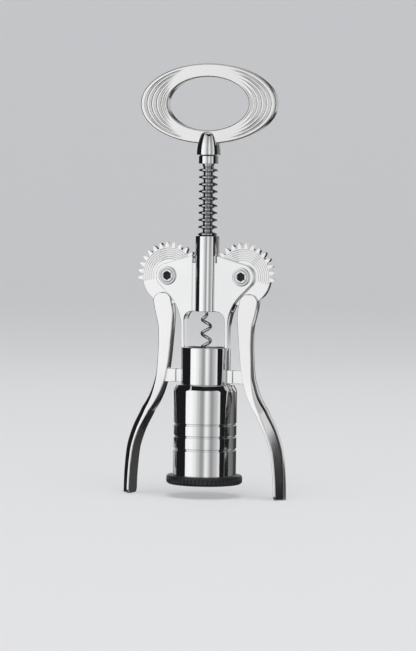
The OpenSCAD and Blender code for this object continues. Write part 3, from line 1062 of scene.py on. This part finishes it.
def camera():
    """Camera at the photo's viewing angle."""
    data = bpy.data.cameras.new("camera")
    data.lens = CAMERA_LENS
    data.sensor_width = 36
    data.clip_end = 100
    holder = bpy.data.objects.new("camera", data)
    bpy.context.scene.collection.objects.link(holder)
    back = Vector(
        (
            math.sin(CAMERA_AZIMUTH) * math.cos(CAMERA_RISE),
            -math.cos(CAMERA_AZIMUTH) * math.cos(CAMERA_RISE),
            math.sin(CAMERA_RISE),
        )
    )
    turn = (-back).to_track_quat("-Z", "Y").to_matrix().to_4x4()
    roll = Matrix.Rotation(CAMERA_ROLL, 4, "Z")
    holder.matrix_world = Matrix.Translation(CAMERA_AIM + back * CAMERA_DISTANCE) @ turn @ roll
    bpy.context.scene.camera = holder


def staged(name, verts, faces, material, **flags):
    """Piece of the studio, which isn't part of the object."""
    mesh = bpy.data.meshes.new(name)
    mesh.from_pydata(verts, [], faces)
    mesh.shade_smooth()
    piece = bpy.data.objects.new(name, mesh)
    bpy.context.scene.collection.objects.link(piece)
    piece.data.materials.append(material)
    for key, value in flags.items():
        setattr(piece, key, value)
    return piece


def glow():
    """Emission as strong as the "light" attribute of the panel's mesh."""
    material = bpy.data.materials.new("panel_light")
    material.use_nodes = True
    tree = material.node_tree
    tree.nodes.clear()
    level = tree.nodes.new("ShaderNodeAttribute")
    level.attribute_name = "light"
    light = tree.nodes.new("ShaderNodeEmission")
    tree.links.new(level.outputs["Fac"], light.inputs["Strength"])
    output = tree.nodes.new("ShaderNodeOutputMaterial")
    tree.links.new(light.outputs[0], output.inputs["Surface"])
    return material


def light_panel(name, verts, faces, levels, material):
    """Panel seen only in reflections, as bright at each vertex as its level."""
    hidden = {"visible_camera": False, "visible_shadow": False, "visible_diffuse": False}
    panel = staged(name, verts, faces, material, **hidden)
    attribute = panel.data.attributes.new("light", "FLOAT", "POINT")
    attribute.data.foreach_set("value", levels)


def light_arc(name, stops, heights, material):
    """Curved soft light round the object. Stops are (azimuth from the camera, strength), and
    heights are (height, share of that strength)."""
    radius = 1.5
    step = 2
    start, end = stops[0][0], stops[-1][0]
    verts, levels = [], []
    count = int((end - start) / step)
    for i in range(count + 1):
        angle = start + (end - start) * i / count
        for (a, level_a), (b, level_b) in zip(stops, stops[1:]):
            if a <= angle <= b:
                level = level_a + (level_b - level_a) * ease(a, b, angle)
        azimuth = CAMERA_AZIMUTH + math.radians(angle)
        for z, share in heights:
            verts.append((radius * math.sin(azimuth), -radius * math.cos(azimuth), z))
            levels.append(level * share)
    rows = len(heights)
    faces = [
        (i * rows + k, (i + 1) * rows + k, (i + 1) * rows + k + 1, i * rows + k + 1)
        for i in range(count)
        for k in range(rows - 1)
    ]
    light_panel(name, verts, faces, levels, material)


def light_disc(name, height, radius, strength, material):
    """Flat round soft light over or under the object."""
    sides = 64
    verts = circle(radius, height, sides)
    light_panel(name, verts, [tuple(range(sides))], [strength] * sides, material)


def cove():
    """Pale floor that curves up into a round wall, so that it looks the same from every side."""
    material = bpy.data.materials.new("pale_floor")
    material.use_nodes = True
    shader = material.node_tree.nodes["Principled BSDF"]
    shader.inputs["Base Color"].default_value = (0.5, 0.5, 0.51, 1)
    shader.inputs["Emission Color"].default_value = (0.97, 0.98, 1, 1)
    shader.inputs["Emission Strength"].default_value = 0.36
    shader.inputs["Roughness"].default_value = 0.9
    shader.inputs["Specular IOR Level"].default_value = 0.1
    floor_r, bend, wall_top = 4, 2, 5
    profile = [(0.00001, 0), (floor_r / 2, 0), (floor_r, 0)]
    for degrees in range(6, 91, 6):
        angle = math.radians(degrees)
        profile.append((floor_r + bend * math.sin(angle), bend - bend * math.cos(angle)))
    profile.append((floor_r + bend, wall_top))
    verts, faces = loft([circle(r, z, 96) for r, z in profile], caps=False)
    staged("pale_cove", verts, faces, material, visible_glossy=False)


def fill_light():
    """Soft lamp overhead, for the floor and the shadow under the object."""
    data = bpy.data.lights.new("overhead", "AREA")
    data.shape = "DISK"
    data.size = 3
    data.energy = 75
    lamp = bpy.data.objects.new("overhead", data)
    lamp.location = (0.4, -0.8, 3.2)
    bpy.context.scene.collection.objects.link(lamp)
    lamp.rotation_euler = (Vector((0, 0, 0)) - lamp.location).to_track_quat("-Z", "Y").to_euler()
    lamp.visible_glossy = False


def studio():
    world = bpy.data.worlds.new("dim_room")
    world.use_nodes = True
    world.node_tree.nodes["Background"].inputs["Color"].default_value = (0.012, 0.012, 0.014, 1)
    bpy.context.scene.world = world
    bpy.context.scene.view_settings.view_transform = "Standard"
    cove()
    material = glow()
    front = [
        (-74, 1.0), (-52, 1.05), (-36, 0.88), (-25, 0.6), (-12, 0.33), (-6, 0.38), (2, 0.86), (7, 0.9),
        (13, 0.7), (20, 0.38), (26, 0.31), (33, 0.46), (42, 0.56), (50, 0.78), (55, 0.8),
    ]
    light_arc("front_softbox", front, [(-0.7, 0.8), (0, 1), (0.8, 0.97), (1.6, 0.6)], material)
    side = [(86, 0.1), (105, 0.2), (130, 0.12)]
    light_arc("side_fill", side, [(-0.9, 4), (-0.32, 4), (-0.19, 1), (1, 0.6)], material)
    high_strip = [(133, 0.5), (137, 0.72), (150, 0.66)]
    strip_heights = [(-0.6, 0.06), (-0.05, 0.08), (0.02, 1), (1, 0.8)]
    light_arc("rim_strip", high_strip, strip_heights, material)
    rear = [(160, 0.7), (185, 0.95), (212, 0.7)]
    light_arc("rear_softbox", rear, [(-0.9, 0.8), (0.7, 0.7)], material)
    light_disc("ceiling_softbox", 1.9, 1.3, 0.5, material)
    light_disc("low_bounce", -1, 1.1, 0.12, material)
    fill_light()


def build():
    bell()
    foot()
    centring_sleeve()
    casting()
    for side in ("left", "right"):
        lever(side)
        pivots(side)
    rack()
    rack_head()
    neck()
    ring_handle()
    worm_screw()
    finish_kept_nodes()


build()
camera()
studio()
